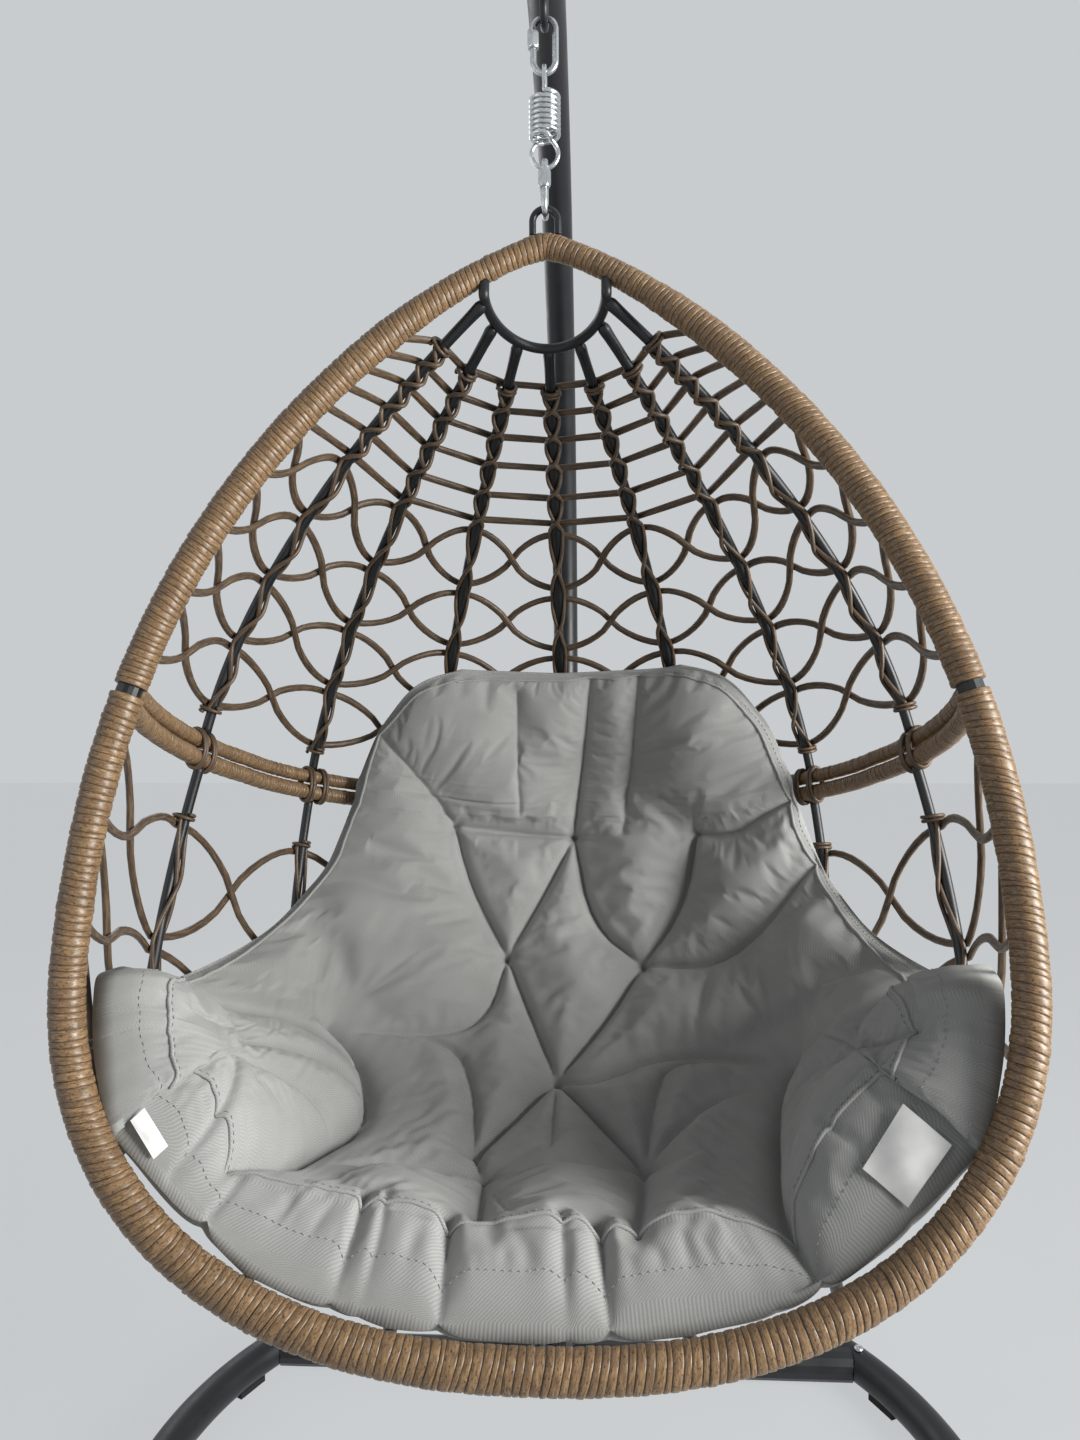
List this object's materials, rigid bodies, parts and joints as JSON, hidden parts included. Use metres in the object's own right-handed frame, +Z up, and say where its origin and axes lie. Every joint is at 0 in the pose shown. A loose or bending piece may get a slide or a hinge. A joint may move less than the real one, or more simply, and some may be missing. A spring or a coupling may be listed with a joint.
{
  "type": "hanging egg chair",
  "caption": "Open wicker egg-shaped basket chair with a tufted cushion, hung by links and a spring from a curved pole stand on a round base.",
  "frame": {"origin": "on the floor under the middle of the chair's bounding box", "axes": "+Z up, +Y from the open front of the basket towards the pole, +X to the right seen from the front"},
  "size_m": [1.166, 1.1961, 1.9385],
  "materials": {
    "black_powder_coat": "black powder coat, satin",
    "zinc_plate": "bright zinc plate",
    "chrome_spring": "bright zinc plated spring wire",
    "black_rubber": "moulded rubber",
    "black_plastic": "moulded plastic",
    "wound_steel": "steel tube, wound with brown synthetic wicker",
    "wound_wicker": "brown synthetic wicker, wound round a tube",
    "net_wicker": "brown synthetic wicker strand",
    "grey_twill": "warm grey twill, tufted"
  },
  "bodies": {
    "stand": {"base_crossbar": "black_powder_coat", "base_arm_left": "black_powder_coat", "base_arm_right": "black_powder_coat", "base_front_sleeve": "black_powder_coat", "sleeve_bolt_left": "zinc_plate", "sleeve_bolt_right": "zinc_plate", "base_bolt_left": "zinc_plate", "base_bolt_right": "zinc_plate", "foot_pad_front_left": "black_rubber", "foot_pad_front_right": "black_rubber", "foot_pad_back_left": "black_rubber", "foot_pad_back_right": "black_rubber", "pole_socket": "black_powder_coat", "pole_socket_bolt": "zinc_plate", "pole_lower": "black_powder_coat", "pole_joint_bolt": "zinc_plate", "pole_arch": "black_powder_coat", "arch_end_cap": "black_plastic", "stand_hook": "black_powder_coat"},
    "upper_link": {"upper_link": "zinc_plate"},
    "upper_link_nut": {"upper_link_nut": "zinc_plate"},
    "spring": {"spring": "chrome_spring"},
    "lower_link": {"lower_link": "zinc_plate"},
    "lower_link_nut": {"lower_link_nut": "zinc_plate"},
    "basket": {"basket_loop": "black_powder_coat", "upper_rim": "wound_steel", "lower_rim": "wound_steel", "joint_spigot_left": "black_powder_coat", "joint_spigot_right": "black_powder_coat", "upper_waist_band": "wound_wicker", "lower_waist_band": "wound_wicker", "collar": "black_powder_coat", "upper_rib_1": "black_powder_coat", "upper_rib_2": "black_powder_coat", "upper_rib_3": "black_powder_coat", "upper_rib_4": "black_powder_coat", "upper_rib_5": "black_powder_coat", "upper_rib_6": "black_powder_coat", "upper_rib_7": "black_powder_coat", "lower_rib_1": "black_powder_coat", "lower_rib_2": "black_powder_coat", "lower_rib_3": "black_powder_coat", "lower_rib_4": "black_powder_coat", "lower_rib_5": "black_powder_coat", "lower_rib_6": "black_powder_coat", "lower_rib_7": "black_powder_coat", "upper_net_left": "net_wicker", "upper_net_back_left": "net_wicker", "upper_net_back_right": "net_wicker", "upper_net_right": "net_wicker", "lower_net_left": "net_wicker", "lower_net_back_left": "net_wicker", "lower_net_back_right": "net_wicker", "lower_net_right": "net_wicker", "seat_cushion": "grey_twill"}
  },
  "joints": [
    {"name": "front_back_swing", "type": "hinge", "parent": "stand", "child": "upper_link", "pos_m": [0, -0.20659, 1.86444], "axis": [1, 0, 0], "range_deg": [-30, 12]},
    {"name": "side_swing", "type": "hinge", "parent": "upper_link", "child": "spring", "pos_m": [0, -0.20659, 1.81024], "axis": [0, 1, 0], "range_deg": [-20, 20]},
    {"name": "spring_stretch", "type": "slide", "parent": "spring", "child": "lower_link", "axis": [0, 0, -1], "range_m": [0, 0.03], "stiffness_N_per_m": 15000, "springref_m": -0.0074, "deforming": ["spring"]},
    {"name": "basket_turn", "type": "hinge", "parent": "lower_link", "child": "basket", "pos_m": [0, -0.20659, 1.6495], "axis": [0, 0, 1], "range_deg": [-35, 35]},
    {"name": "upper_nut_travel", "type": "slide", "parent": "upper_link", "child": "upper_link_nut", "axis": [0, 0, -1], "range_m": [0, 0.01]},
    {"name": "lower_nut_travel", "type": "slide", "parent": "lower_link", "child": "lower_link_nut", "axis": [0, 0, -1], "range_m": [0, 0.01]}
  ]
}
